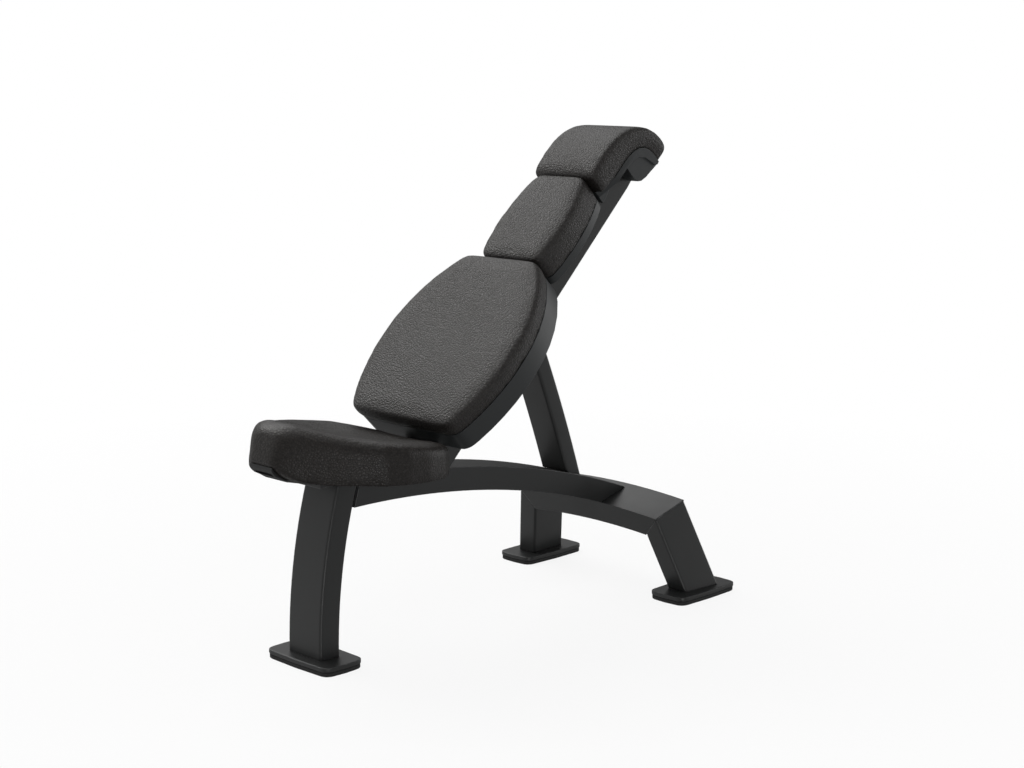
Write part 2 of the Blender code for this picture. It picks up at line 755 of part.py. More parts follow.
def make_back_pad(name, pad):
    """Cushion, board and moulded shell of the main or middle pad."""
    line = pad["line"]
    cushion = pad_layer(name + "_cushion", pad, line + GAP, pad["face"], 0.0, "vinyl")
    rim_bevel(cushion, True, 0.014)
    board = pad_layer(name + "_board", pad, line - BOARD_THICK - GAP, line - GAP,
                      BOARD_INSET, "board")
    shell = pad_layer(name + "_shell", pad, pad["base"], line - GAP, 0.0005, "shell")
    rim_bevel(shell, False, 0.012)
    recess_frame = pad_frame() @ Matrix.Translation((0, 0, line - BOARD_THICK / 2))
    recess = outline_solid(name + "_recess", pad_outline(pad, BOARD_INSET - GAP),
                           BOARD_THICK / 2 + 2 * GAP, recess_frame, cutter=True)
    cut(shell, recess)
    mount = 0.5 * (pad["base"] - TUBE_DEEP) - GAP
    middle = 0.5 * (pad["base"] + TUBE_DEEP)
    reach = 0.32 * (pad["high"] - pad["low"])
    centre = 0.5 * (pad["high"] + pad["low"])
    plate = outline_solid(name + "_mount", [(-0.04, centre - reach), (0.04, centre - reach),
                                            (0.04, centre + reach), (-0.04, centre + reach)],
                          mount, pad_frame() @ Matrix.Translation((0, 0, middle)))
    give_look(plate, "coat")
    return [cushion, board, shell, plate]


def head_outer(steps=7):
    """The head cushion's outer side profile in s and n, seam to rear end."""
    face = [(0.6830, 0.130), (0.690, 0.138), (0.702, 0.1415), (0.740, 0.1435)]
    over = bezier((0.740, 0.1435), (0.835, 0.1460), (0.893, 0.085), (0.8925, 0.022), steps)
    end = [(0.8890, 0.006), (0.880, 0.0005)]
    return face + over[1:] + end


def head_inner(grow=0.0, steps=7):
    """The line between head cushion and shell, rear end to seam."""
    over = bezier((0.852, 0.001), (0.856, 0.058 + grow), (0.830, 0.084 + grow),
                  (0.770, 0.083 + grow), steps)
    return over + [(0.740, 0.083 + grow), (0.700, 0.083 + grow), (0.6830, 0.085 + grow)]


def head_hook():
    """The moulded hook under the head cushion: a strip that turns over the spine's end."""
    drop = 2 * GAP
    outer = [(s - drop, n - drop) for s, n in head_inner()[::-1]]
    inner = [(0.8440, -0.0010), (0.8370, 0.0040), (0.8330, 0.0200), (0.8260, 0.0400),
             (0.8120, 0.0570), (0.7850, 0.0665), (0.7600, 0.0680), (0.6830, 0.0680)]
    return outer + inner


def head_lobe():
    """The rounded block that closes the hook around the spine's end."""
    return [(0.8505, 0.0010), (0.8505, -0.0030), (0.8377, -0.0014), (0.8179, 0.0020),
            (0.8012, 0.0044), (0.7850, 0.0100), (0.7770, 0.0170), (0.7725, 0.0270),
            (0.7715, 0.0420), (0.7725, 0.0690), (0.7850, 0.0690), (0.8120, 0.0600),
            (0.8260, 0.0430), (0.8330, 0.0230), (0.8400, 0.0060)]


def head_chin():
    """The moulded wedge that closes the hook's lower end towards the spine."""
    return [(0.6832, 0.0690), (0.6832, 0.0490), (0.6950, 0.0495), (0.7240, 0.0570),
            (0.7600, 0.0690)]


def narrow_lower_end(shell):
    """Slope the hook's lower corners in, so that its end is narrower than the cushion."""
    frame = pad_frame() @ Matrix.Translation((0, 0, 0.0716))
    corner = [(0.0615, 0.6800), (0.0960, 0.6800), (0.0960, 0.7330), (0.0888, 0.7330)]
    for side in (-1, 1):
        points = [(side * x, s) for x, s in corner][::side]
        cut(shell, outline_solid("chin_corner", points, 0.0130, frame, cutter=True))


def make_head():
    half = 0.089
    cushion = outline_solid("head_cushion", head_outer() + head_inner(), half, spine_frame())
    add_bevel(cushion, 0.012, 3, 60)
    give_look(cushion, "vinyl")
    shell = outline_solid("head_shell", head_hook(), half - 0.001, spine_frame())
    lobe = outline_solid("head_lobe", head_lobe(), 0.084, spine_frame(), cutter=True)
    cut(shell, lobe, "UNION")
    chin = outline_solid("head_chin", head_chin(), 0.0615, spine_frame(), cutter=True)
    cut(shell, chin, "UNION")
    narrow_lower_end(shell)
    pocket = outline_solid("chin_pocket", [(0.6940, 0.03), (0.7610, 0.03), (0.7610, 0.0680),
                                           (0.6940, 0.0680)], 0.0405, spine_frame(), cutter=True)
    cut(shell, pocket)
    mouth = outline_solid("chin_mouth", [(0.68, 0.03), (0.70, 0.03),
                                         (0.70, TUBE_DEEP + 0.0010), (0.68, TUBE_DEEP + 0.0010)],
                          TUBE_WIDE / 2 + 0.0035, spine_frame(), cutter=True)
    cut(shell, mouth)
    end = SPINE_LENGTH + 0.0035
    socket = outline_solid("spine_socket", [(0.74, -0.02), (end, -0.02), (end, 0.0530),
                                            (0.74, 0.0530)],
                           TUBE_WIDE / 2 + 0.0035, spine_frame(), cutter=True)
    cut(shell, socket)
    give_look(shell, "shell")
    board = outline_solid("head_board", [(0.700, 0.0705), (0.780, 0.0705), (0.780, 0.0815),
                                         (0.700, 0.0815)], 0.062, spine_frame())
    give_look(board, "board")
    recess = outline_solid("head_recess", [(0.6997, 0.0702), (0.7803, 0.0702), (0.7803, 0.086),
                                           (0.6997, 0.086)], 0.0623, spine_frame(), cutter=True)
    cut(shell, recess)
    low = TUBE_DEEP + GAP
    high = 0.0680 - GAP
    mount = outline_solid("head_mount", [(0.700, low), (0.757, low), (0.757, high),
                                         (0.700, high)], 0.040, spine_frame())
    give_look(mount, "coat")
    return [cushion, shell, board, mount]


# ---------------------------------------------------------------- hinge and adjuster

def make_hinge():
    """Two lugs on the beam, two ears on the spine, and the pin through them."""
    pin_y, pin_z = HINGE
    lug_outer = 0.0370
    lug_thick = 0.008
    ear_outer = 0.0455
    ear_thick = 0.007
    moving = []
    for side, name in ((-1, "left"), (1, "right")):
        hinge_lug("hinge_lug_" + name, side * (lug_outer - lug_thick / 2), lug_thick / 2)
        ear = hinge_ear("hinge_ear_" + name, side * (ear_outer - ear_thick / 2), ear_thick / 2)
        moving.append(ear)
        inner = side * (ear_outer - ear_thick + 0.0002)
        outer = side * (ear_outer - 0.0002)
        bush = tube("hinge_bush_" + name, (inner, pin_y, pin_z), (outer, pin_y, pin_z),
                    BUSH_RADIUS, HINGE_PIN_RADIUS + 0.00005, 32)
        give_look(bush, "nylon")
        moving.append(bush)
    reach = ear_outer + 0.0006
    pin = cylinder("hinge_pin", (-reach, pin_y, pin_z), (reach, pin_y, pin_z),
                   HINGE_PIN_RADIUS, 32)
    give_look(pin, "zinc")
    for side, name in ((-1, "left"), (1, "right")):
        head = cylinder("hinge_clip_" + name, (side * (reach + GAP), pin_y, pin_z),
                        (side * (reach + 0.004), pin_y, pin_z), 0.0105, 20)
        give_look(head, "zinc")
    return moving


def hinge_lug(name, x, half):
    pin_y, pin_z = HINGE
    top = arc_points(HINGE, EYE_RADIUS, math.radians(-20), math.radians(200), 14)
    low_rear = (pin_y + 0.024, beam_z(pin_y + 0.024) + GAP)
    low_front = (pin_y - 0.024, beam_z(pin_y - 0.024) + GAP)
    outline = top + [low_front, (pin_y, beam_z(pin_y) + GAP), low_rear]
    frame = side_frame() @ Matrix.Translation((0, 0, x))
    lug = outline_solid(name, outline, half, frame)
    hole = cylinder(name + "_hole", (x - 0.01, pin_y, pin_z), (x + 0.01, pin_y, pin_z),
                    HINGE_PIN_RADIUS + 0.00005, 32, cutter=True)
    cut(lug, hole)
    give_look(lug, "coat")


def hinge_ear(name, x, half):
    """A plate inside the spine's wall whose eye reaches forwards to the pin."""
    pin_s, pin_n = side_to_slope(*HINGE)
    eye = arc_points((pin_s, pin_n), EYE_RADIUS, math.radians(60), math.radians(290), 14)
    outline = eye + [(0.012, 0.006), (0.075, 0.006), (0.075, 0.0450), (0.0205, 0.0450),
                     (0.0165, 0.0500)]
    frame = spine_frame() @ Matrix.Translation((0, 0, x))
    ear = outline_solid(name, outline, half, frame)
    hole = cylinder(name + "_hole", (x - 0.01, HINGE[0], HINGE[1]), (x + 0.01, HINGE[0], HINGE[1]),
                    BUSH_RADIUS + GAP, 32, cutter=True)
    cut(ear, hole)
    give_look(ear, "coat")
    return ear


def bar_band(inset, low, high, steps):
    """A band of the adjuster's arc about the hinge."""
    outer = arc_points(HINGE, BAR_RADIUS + BAR_DEEP / 2 + inset, low, high, steps)
    inner = arc_points(HINGE, BAR_RADIUS - BAR_DEEP / 2 - inset, low, high, steps)
    return outer + inner[::-1]


def lock_point(angle=LOCK_ANGLE):
    return (HINGE[0] + BAR_RADIUS * math.cos(angle), HINGE[1] + BAR_RADIUS * math.sin(angle))


def make_adjuster(spine, strut):
    bar = outline_solid("adjuster_bar", bar_band(0.0, BAR_LOW, BAR_HIGH, 18), BAR_THICK / 2,
                        side_frame())
    for step in range(1, LOCK_HOLES + 1):
        y, z = lock_point(LOCK_ANGLE - step * LOCK_STEP)
        hole = cylinder("bar_hole_%d" % step, (-0.02, y, z), (0.02, y, z),
                        LOCK_PIN_RADIUS + 0.0004, 16, cutter=True)
        cut(bar, hole)
    give_look(bar, "zinc")
    slot = outline_solid("spine_slot", bar_band(GAP, math.radians(30), BAR_HIGH + 0.002, 8),
                         BAR_THICK / 2 + GAP, side_frame(), cutter=True)
    cut(spine, slot)
    make_bump_stop()
    make_guides()
    make_lock(strut)
    return bar


def make_bump_stop():
    """Rubber plate on the strut's top edge, open in the middle for the bar."""
    front = strut_meets_spine(STRUT_RADIUS, -BUMP_THICK - GAP)
    rear = strut_meets_spine(STRUT_RADIUS + STRUT_DEEP, -BUMP_THICK - GAP)
    s_front = side_to_slope(STRUT_CENTRE[0] + STRUT_RADIUS * math.cos(front),
                            STRUT_CENTRE[1] + STRUT_RADIUS * math.sin(front))[0]
    reach = STRUT_RADIUS + STRUT_DEEP
    s_rear = side_to_slope(STRUT_CENTRE[0] + reach * math.cos(rear),
                           STRUT_CENTRE[1] + reach * math.sin(rear))[0]
    low, high = sorted((s_front, s_rear))
    half = STRUT_WIDE / 2 - 0.002
    plate = outline_solid("bump_stop", [(-half, low + 0.001), (half, low + 0.001),
                                        (half, high - 0.001), (-half, high - 0.001)],
                          BUMP_THICK / 2 - GAP / 2,
                          pad_frame() @ Matrix.Translation((0, 0, -BUMP_THICK / 2 - GAP)))
    slot = outline_solid("bump_slot", bar_band(0.003, math.radians(30), math.radians(40), 6),
                         BAR_THICK / 2 + 0.003, side_frame(), cutter=True)
    cut(plate, slot)
    give_look(plate, "rubber")


def make_guides():
    """Nylon blocks in the strut's top that steady the bar from both sides."""
    low = strut_meets_spine(STRUT_RADIUS, -BUMP_THICK) - math.radians(0.9)
    high = strut_meets_spine(STRUT_RADIUS, -BUMP_THICK) - math.radians(0.12)
    clear = TUBE_WALL + GAP
    band = (strut_side(STRUT_RADIUS + clear, low, high, 6)
            + strut_side(STRUT_RADIUS + STRUT_DEEP - clear, low, high, 6)[::-1])
    inner = BAR_THICK / 2 + 0.0006
    outer = STRUT_WIDE / 2 - clear
    y, z = lock_point()
    for side, name in ((-1, "left"), (1, "right")):
        frame = side_frame() @ Matrix.Translation((0, 0, side * (inner + outer) / 2))
        guide = outline_solid("bar_guide_" + name, band, (outer - inner) / 2, frame)
        give_look(guide, "nylon")
        if side < 0:
            hole = cylinder("guide_hole", (-0.05, y, z), (0.0, y, z),
                            LOCK_PIN_RADIUS + 0.0005, 20, cutter=True)
            cut(guide, hole)


def make_lock(strut):
    """Spring pull pin in a housing on the strut's left side."""
    y, z = lock_point()
    side = -STRUT_WIDE / 2
    wall_hole = cylinder("strut_pin_hole", (side - 0.01, y, z), (side + 0.01, y, z),
                         LOCK_PIN_RADIUS + 0.0005, 20, cutter=True)
    cut(strut, wall_hole)
    housing_start = side - GAP
    housing_end = housing_start - 0.030
    housing = cylinder("lock_housing", (housing_start, y, z), (housing_end, y, z), 0.0135, 28)
    add_bevel(housing, 0.0012, 2)
    chamber = cylinder("lock_chamber", (housing_start - 0.002, y, z), (housing_end + 0.003, y, z),
                       0.0092, 28, cutter=True)
    bore = cylinder("lock_bore", (housing_start + 0.01, y, z), (housing_end - 0.01, y, z),
                    LOCK_PIN_RADIUS + 0.0005, 20, cutter=True)
    cut(housing, chamber)
    cut(housing, bore)
    give_look(housing, "zinc")
    tip = -BAR_THICK / 2 - 0.0004
    knob_start = housing_end - 0.0008
    pin = cylinder("lock_pin", (tip, y, z), (knob_start - 0.010, y, z), LOCK_PIN_RADIUS, 20)
    collar_start = housing_start - 0.0025
    collar = cylinder("lock_collar", (collar_start, y, z), (collar_start - 0.003, y, z),
                      0.0086, 24, cutter=True)
    cut(pin, collar, "UNION")
    give_look(pin, "zinc")
    knob = turned("lock_knob", (knob_start - 0.028, y, z), (-1, 0, 0),
                  [(0.0, 0.0), (0.009, 0.0), (0.0135, -0.0025), (0.0155, -0.0075),
                   (0.0145, -0.0140), (0.0100, -0.0200), (0.0090, -0.0280), (0.0, -0.0280)], 24)
    knob_bore = cylinder("knob_bore", (knob_start + 0.01, y, z),
                         (knob_start - 0.010 - GAP, y, z), LOCK_PIN_RADIUS + GAP, 20, cutter=True)
    cut(knob, knob_bore)
    give_look(knob, "nylon")
    attach(knob, pin)
    spring = make_spring(y, z, collar_start - 0.003 - GAP, housing_end + 0.003 + GAP)
    give_look(spring, "spring")


def make_spring(y, z, start, end):
    turns = 4.5
    wire = 0.0007
    coil = LOCK_PIN_RADIUS + 0.0006 + 2 * wire
    length = abs(end - start) - 2 * wire
    steps = int(turns * 12)
    curve = bpy.data.curves.new("lock_spring", "CURVE")
    curve.dimensions = "3D"
    curve.bevel_depth = wire
    curve.bevel_resolution = 1
    curve.use_fill_caps = True
    spline = curve.splines.new("POLY")
    spline.points.add(steps)
    for i, point in enumerate(spline.points):
        a = 2 * math.pi * turns * i / steps
        x = max(start, end) - wire - length * i / steps
        point.co = (x, coil * math.cos(a), coil * math.sin(a), 1.0)
    maker = bpy.data.objects.new("spring_path", curve)
    mesh = bpy.data.meshes.new_from_object(maker)
    bpy.data.objects.remove(maker)
    bpy.data.curves.remove(curve)
    bm = bmesh.new()
    bm.from_mesh(mesh)
    bmesh.ops.remove_doubles(bm, verts=bm.verts, dist=0.00001)
    bmesh.ops.recalc_face_normals(bm, faces=bm.faces)
    bm.to_mesh(mesh)
    bm.free()
    mesh.name = "lock_spring"
    obj = new_object("lock_spring", mesh)
    obj.location = (0, y - MIDDLE_Y, z)
    return obj


# ---------------------------------------------------------------- seat

def smooth_between(stations, y):
    """Cubic interpolation with flat-free slopes through (y, value) stations."""
    if y <= stations[0][0]:
        return stations[0][1]
    if y >= stations[-1][0]:
        return stations[-1][1]
    i = max(k for k in range(len(stations) - 1) if stations[k][0] <= y)
    (x0, v0), (x1, v1) = stations[i], stations[i + 1]
    before = stations[max(i - 1, 0)]
    after = stations[min(i + 2, len(stations) - 1)]
    m0 = (v1 - before[1]) / (x1 - before[0])
    m1 = (after[1] - v0) / (after[0] - x0)
    h = x1 - x0
    t = (y - x0) / h
    return ((2 * t ** 3 - 3 * t * t + 1) * v0 + (t ** 3 - 2 * t * t + t) * h * m0
            + (3 * t * t - 2 * t ** 3) * v1 + (t ** 3 - t * t) * h * m1)


SEAT_HALF = ((-0.124, 0.034), (-0.112, 0.052), (-0.084, 0.080), (-0.018, 0.140), (0.036, 0.185),
             (0.082, 0.198), (0.132, 0.200), (0.181, 0.188), (0.222, 0.156), (0.245, 0.116),
             (0.256, 0.074))
SEAT_TOP = ((-0.124, 0.476), (-0.084, 0.485), (-0.018, 0.478), (0.0365, 0.471), (0.082, 0.4655),
            (0.132, 0.4575), (0.181, 0.4490), (0.256, 0.4240))
SEAT_CREST = ((-0.124, 0.006), (-0.090, 0.012), (-0.030, 0.000), (0.060, -0.020),
              (0.150, -0.024), (0.256, -0.010))
SEAT_BOTTOM_FRONT = (-0.060, 0.3838)
SEAT_BOTTOM_REAR = (0.256, 0.3685)
SEAT_NOSE_LIFT = 0.0345
SEAT_NOSE_LEAN = 0.014
SEAT_SHELL_THICK = 0.005


def seat_bottom(y):
    """Height of the cushion's underside: a plane that lifts under the nose."""
    (y0, z0), (y1, z1) = SEAT_BOTTOM_FRONT, SEAT_BOTTOM_REAR
    plane = z0 + (z1 - z0) * (y - y0) / (y1 - y0)
    if y < y0:
        plane += SEAT_NOSE_LIFT * ((y0 - y) / (y0 + 0.124)) ** 2.3
    return plane


def seat_ring(y, inset=0.0, steps=28):
    half = smooth_between(SEAT_HALF, y) - inset
    top = smooth_between(SEAT_TOP, y) - inset
    bottom = seat_bottom(y) + inset
    crest = smooth_between(SEAT_CREST, y)
    middle = (top + bottom) / 2
    tall = (top - bottom) / 2
    lean = SEAT_NOSE_LEAN * max(0.0, (-0.040 - y) / 0.084)
    ring = []
    for i in range(steps):
        a = 2 * math.pi * (i + 0.5) / steps
        c, s = math.cos(a), math.sin(a)
        x = half * math.copysign(abs(c) ** (0.42 if s > 0 else 0.05), c)
        z = middle + tall * math.copysign(abs(s) ** (0.5 if s > 0 else 0.05), s)
        if s > 0:
            z += crest * (1 - (x / half) ** 2)
        back = lean * (z - bottom) / (top - bottom)
        ring.append((x, y + back - MIDDLE_Y, z))
    return ring


def seat_under(y, drop):
    return seat_bottom(y) - drop


def make_seat():
    ys = (-0.124, -0.118, -0.104, -0.084, -0.050, -0.018, 0.036, 0.082, 0.132, 0.181, 0.216,
          0.236, 0.250, 0.256)
    rings = [seat_ring(y, 0.004 if y in (ys[0], ys[-1]) else 0.0) for y in ys]
    cushion = loft("seat_cushion", rings)
    give_look(cushion, "vinyl")
    shell = seat_layer("seat_shell", GAP, GAP + SEAT_SHELL_THICK, 0.050)
    cut(shell, seat_lip(), "UNION")
    cut(shell, grip_slot())
    give_look(shell, "shell")
    make_seat_bracket()


def seat_layer(name, high, low, inset):
    """A thin tray that follows the cushion's underside."""
    ys = (-0.090, -0.084, -0.050, -0.018, 0.036, 0.082, 0.132, 0.181, 0.210)
    rings = []
    for y in ys:
        half = smooth_between(SEAT_HALF, y) - inset
        top = seat_under(y, high)
        bottom = seat_under(y, low)
        rings.append([(-half, y - MIDDLE_Y, bottom), (half, y - MIDDLE_Y, bottom),
                      (half, y - MIDDLE_Y, top), (-half, y - MIDDLE_Y, top)])
    return loft(name, rings)


def seat_lip():
    """The front end of the seat shell, which follows the nose's rounded underside."""
    ys = (-0.084, -0.092, -0.100, -0.107, -0.113, -0.118, -0.1215)
    top = [(y, seat_under(y, GAP)) for y in ys]
    bottom = [(-0.1225, 0.4120), (-0.1190, 0.4055), (-0.1120, 0.3985), (-0.1000, 0.3925),
              (-0.0840, 0.3830)]
    lip = outline_solid("seat_lip", top + bottom, 0.034, side_frame(), cutter=True)
    add_bevel(lip, 0.001, 2, 50)
    return lip


def grip_slot():
    """The finger slot in the sloping front of the seat shell."""
    along = Vector((0.707, -0.707)) * 0.0075
    across = Vector((0.707, 0.707)) * 0.012
    middle = Vector((-0.1115, 0.4005))
    corners = [middle + along + across, middle - along + across,
               middle - along - across, middle + along - across]
    slot = outline_solid("grip_slot", [tuple(c) for c in corners], 0.027, side_frame(),
                         cutter=True)
    add_bevel(slot, 0.004, 3, 50)
    return slot


def make_seat_bracket():
    """A wedge between the beam's top and the sloping seat shell."""
    clear = SEAT_SHELL_THICK + 2 * GAP
    low, high = -0.015, 0.205
    top = [(high, seat_under(high, clear)), (low, seat_under(low, clear))]
    bottom = []
    for i in range(13):
        y = low + (high - low) * i / 12
        bottom.append((y, beam_z(max(y, BEAM_CENTRE[0])) + GAP))
    bracket = outline_solid("seat_bracket", bottom + top, 0.044, side_frame())
    give_look(bracket, "coat")


# ---------------------------------------------------------------- build

def main():
    clear_scene()
    make_collections()
    make_foot("front", 0.0, 0.0, 0.0)
    make_foot("left", -REAR_FOOT_X, REAR_FOOT_Y, math.radians(90))
    make_foot("right", REAR_FOOT_X, REAR_FOOT_Y, math.radians(90))
    make_front_leg()
    make_beam()
    make_rear_frame()
    strut = make_strut()
    spine = make_spine()
    moving = make_back_pad("main", MAIN_PAD) + make_back_pad("mid", MID_PAD) + make_head()
    moving += make_hinge()
    moving.append(make_adjuster(spine, strut))
    set_origin(spine, *HINGE)
    for piece in moving:
        attach(piece, spine)
    make_seat()


main()
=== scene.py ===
"""Looks for the adjustable weight bench: coated tube frame, four vinyl pads on moulded shells."""
import json
import math

import bmesh
import bpy
import numpy as np
from mathutils import Euler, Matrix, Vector
from mathutils.bvhtree import BVHTree


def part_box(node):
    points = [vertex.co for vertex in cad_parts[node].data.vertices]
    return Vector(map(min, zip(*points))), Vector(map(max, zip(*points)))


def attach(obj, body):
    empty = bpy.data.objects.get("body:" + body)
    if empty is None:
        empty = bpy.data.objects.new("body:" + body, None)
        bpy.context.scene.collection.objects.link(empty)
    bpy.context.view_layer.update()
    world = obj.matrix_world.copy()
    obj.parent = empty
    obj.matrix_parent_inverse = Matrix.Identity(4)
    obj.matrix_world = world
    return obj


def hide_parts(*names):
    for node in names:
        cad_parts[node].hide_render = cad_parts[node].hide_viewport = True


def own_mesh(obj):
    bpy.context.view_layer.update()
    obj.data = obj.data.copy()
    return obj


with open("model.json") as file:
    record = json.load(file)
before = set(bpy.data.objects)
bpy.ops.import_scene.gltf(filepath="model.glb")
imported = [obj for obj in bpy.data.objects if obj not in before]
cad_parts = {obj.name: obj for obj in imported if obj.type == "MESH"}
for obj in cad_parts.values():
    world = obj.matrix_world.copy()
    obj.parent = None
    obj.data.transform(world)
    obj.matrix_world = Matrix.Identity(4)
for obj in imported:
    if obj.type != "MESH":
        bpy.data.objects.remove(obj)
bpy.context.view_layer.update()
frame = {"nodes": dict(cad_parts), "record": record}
NODES = frame["nodes"]
WELD = 0.00002


# ---------------------------------------------------------------- node helper

class Shader:
    """A material's node tree with short calls to add and link nodes."""

    def __init__(self, name):
        self.material = bpy.data.materials.new(name)
        self.material.use_nodes = True
        self.tree = self.material.node_tree
        self.tree.nodes.clear()
        self.place = self.add("ShaderNodeTexCoord").outputs["Object"]

    def add(self, kind, **settings):
        node = self.tree.nodes.new(kind)
        for key, value in settings.items():
            setattr(node, key, value)
        return node

    def feed(self, socket, value):
        if isinstance(value, bpy.types.NodeSocket):
            self.tree.links.new(value, socket)
        elif value is not None:
            socket.default_value = value

    def noise(self, scale, detail=2.0, rough=0.5, where=None, warp=0.0):
        node = self.add("ShaderNodeTexNoise")
        self.feed(node.inputs["Vector"], where or self.place)
        self.feed(node.inputs["Scale"], scale)
        self.feed(node.inputs["Detail"], detail)
        self.feed(node.inputs["Roughness"], rough)
        self.feed(node.inputs["Distortion"], warp)
        return node.outputs["Fac"]

    def stretch(self, scale):
        node = self.add("ShaderNodeMapping")
        self.feed(node.inputs["Vector"], self.place)
        self.feed(node.inputs["Scale"], scale)
        return node.outputs["Vector"]

    def cells(self, scale, where, feature, smooth=None):
        node = self.add("ShaderNodeTexVoronoi", feature=feature)
        self.feed(node.inputs["Vector"], where)
        self.feed(node.inputs["Scale"], scale)
        if smooth is not None:
            self.feed(node.inputs["Smoothness"], smooth)
        return node.outputs["Distance"]

    def math(self, kind, a, b):
        node = self.add("ShaderNodeMath", operation=kind)
        self.feed(node.inputs[0], a)
        self.feed(node.inputs[1], b)
        return node.outputs[0]

    def span(self, value, low, high, to_low=0.0, to_high=1.0):
        node = self.add("ShaderNodeMapRange")
        self.feed(node.inputs["Value"], value)
        for key, number in (("From Min", low), ("From Max", high),
                            ("To Min", to_low), ("To Max", to_high)):
            self.feed(node.inputs[key], number)
        return node.outputs["Result"]

    def mix(self, amount, a, b):
        node = self.add("ShaderNodeMix", data_type="RGBA")
        self.feed(node.inputs["Factor"], amount)
        self.feed(node.inputs[6], a)
        self.feed(node.inputs[7], b)
        return node.outputs[2]

    def bump(self, height, strength, distance, normal=None):
        node = self.add("ShaderNodeBump")
        self.feed(node.inputs["Height"], height)
        self.feed(node.inputs["Strength"], strength)
        self.feed(node.inputs["Distance"], distance)
        self.feed(node.inputs["Normal"], normal)
        return node.outputs["Normal"]

    def soft_edges(self, radius):
        node = self.add("ShaderNodeBevel", samples=6)
        self.feed(node.inputs["Radius"], radius)
        return node.outputs["Normal"]

    def edge_mask(self, rounded, low=0.02, high=0.20):
        true_normal = self.add("ShaderNodeNewGeometry").outputs["Normal"]
        dot = self.add("ShaderNodeVectorMath", operation="DOT_PRODUCT")
        self.feed(dot.inputs[0], rounded)
        self.feed(dot.inputs[1], true_normal)
        return self.span(self.math("SUBTRACT", 1.0, dot.outputs["Value"]), low, high)

    def finish(self, colour, rough, normal=None, **sockets):
        shader = self.add("ShaderNodeBsdfPrincipled")
        self.feed(shader.inputs["Base Color"], colour)
        self.feed(shader.inputs["Roughness"], rough)
        self.feed(shader.inputs["Normal"], normal)
        for key, value in sockets.items():
            self.feed(shader.inputs[key.replace("_", " ")], value)
        out = self.add("ShaderNodeOutputMaterial")
        self.tree.links.new(shader.outputs[0], out.inputs["Surface"])
        return self.material


def rgb(r, g, b):
    """Linear colour from 0-255 display values."""
    def one(v):
        v = v / 255.0
        return v / 12.92 if v <= 0.04045 else ((v + 0.055) / 1.055) ** 2.4
    return (one(r), one(g), one(b), 1.0)


# ---------------------------------------------------------------- materials

def coat_material():
    s = Shader("powder_coat")
    rounded = s.soft_edges(0.0030)
    edge_highlight = s.edge_mask(rounded)
    cloud = s.noise(9.0, 3.0)
    speck = s.noise(900.0, 2.0, 0.6)
    base = s.mix(cloud, rgb(34, 35, 35), rgb(41, 42, 42))
    base = s.mix(s.math("MULTIPLY", s.span(speck, 0.62, 0.80), 0.35), base, rgb(60, 61, 61))
    # painted highlight: every edge lightened towards rgb(128) grey, broken up by noise, standing in
    # for bright lines of light along the edges
    patchy = s.math("MULTIPLY", edge_highlight, s.span(s.noise(60.0, 3.0), 0.42, 0.62, 0.35, 0.9))
    base = s.mix(patchy, base, rgb(128, 129, 130))
    rough = s.math("ADD", s.span(cloud, 0.3, 0.7, 0.33, 0.42), s.math("MULTIPLY", speck, 0.05))
    peel = s.math("ADD", s.noise(420.0, 2.0), s.math("MULTIPLY", speck, 0.5))
    normal = s.bump(peel, 0.16, 0.00035, rounded)
    return s.finish(base, rough, normal, IOR=1.5)


def vinyl_material(name, cells, depth, stretch, gloss, level):
    """Embossed leathercloth: rounded pebbles between fine creases, with painted shade in the
    creases and painted highlights on the pebble tops.
    """
    s = Shader(name)
    where = s.stretch(stretch)
    warp = s.add("ShaderNodeTexNoise")
    s.feed(warp.inputs["Vector"], where)
    s.feed(warp.inputs["Scale"], cells * 0.45)
    bend = s.add("ShaderNodeVectorMath", operation="MULTIPLY_ADD")
    s.feed(bend.inputs[0], warp.outputs["Color"])
    s.feed(bend.inputs[1], (1.1 / cells,) * 3)
    s.feed(bend.inputs[2], where)
    where = bend.outputs[0]
    pebble = s.cells(cells, where, "SMOOTH_F1", 0.45)
    crease = s.cells(cells, where, "DISTANCE_TO_EDGE")
    fine = s.noise(cells * 5.0, 2.0, 0.6)
    cloud = s.noise(7.0, 3.0)
    valley = s.span(crease, 0.0, 0.18, 1.0, 0.0)
    base = s.mix(cloud, rgb(36, 32, 30), rgb(45, 41, 38))
    # painted shade: the creases darkened towards rgb(14, 13, 12)
    base = s.mix(s.math("MULTIPLY", valley, 0.75), base, rgb(14, 13, 12))
    # painted highlight: the pebble tops lightened towards rgb(66, 62, 57)
    base = s.mix(s.math("MULTIPLY", s.span(pebble, 0.35, 0.0), 0.25), base, rgb(66, 62, 57))
    height = s.math("SUBTRACT", s.math("MULTIPLY", fine, 0.15), pebble)
    height = s.math("SUBTRACT", height, s.math("MULTIPLY", valley, 0.35))
    normal = s.bump(height, 1.0, depth)
    rough = s.span(cloud, 0.3, 0.7, gloss, gloss + 0.08)
    rough = s.math("ADD", rough, s.math("MULTIPLY", valley, 0.18))
    return s.finish(base, rough, normal, IOR=1.5, Specular_IOR_Level=level)


def shell_material():
    s = Shader("moulded_shell")
    rounded = s.soft_edges(0.0020)
    cloud = s.noise(6.0, 2.0)
    grain = s.noise(1300.0, 3.0, 0.6)
    base = s.mix(cloud, rgb(40, 42, 43), rgb(48, 51, 52))
    # painted highlight: the shell's edges lightened towards rgb(92, 96, 98) at half strength
    edge_highlight = s.math("MULTIPLY", s.edge_mask(rounded, 0.05, 0.3), 0.5)
    base = s.mix(edge_highlight, base, rgb(92, 96, 98))
    base = s.mix(s.math("MULTIPLY", s.span(s.noise(240.0, 4.0), 0.62, 0.8), 0.25), base,
                 rgb(66, 69, 70))
    rough = s.math("ADD", s.span(cloud, 0.3, 0.7, 0.36, 0.44), s.math("MULTIPLY", grain, 0.06))
    normal = s.bump(grain, 0.12, 0.0003, rounded)
    return s.finish(base, rough, normal, IOR=1.5)


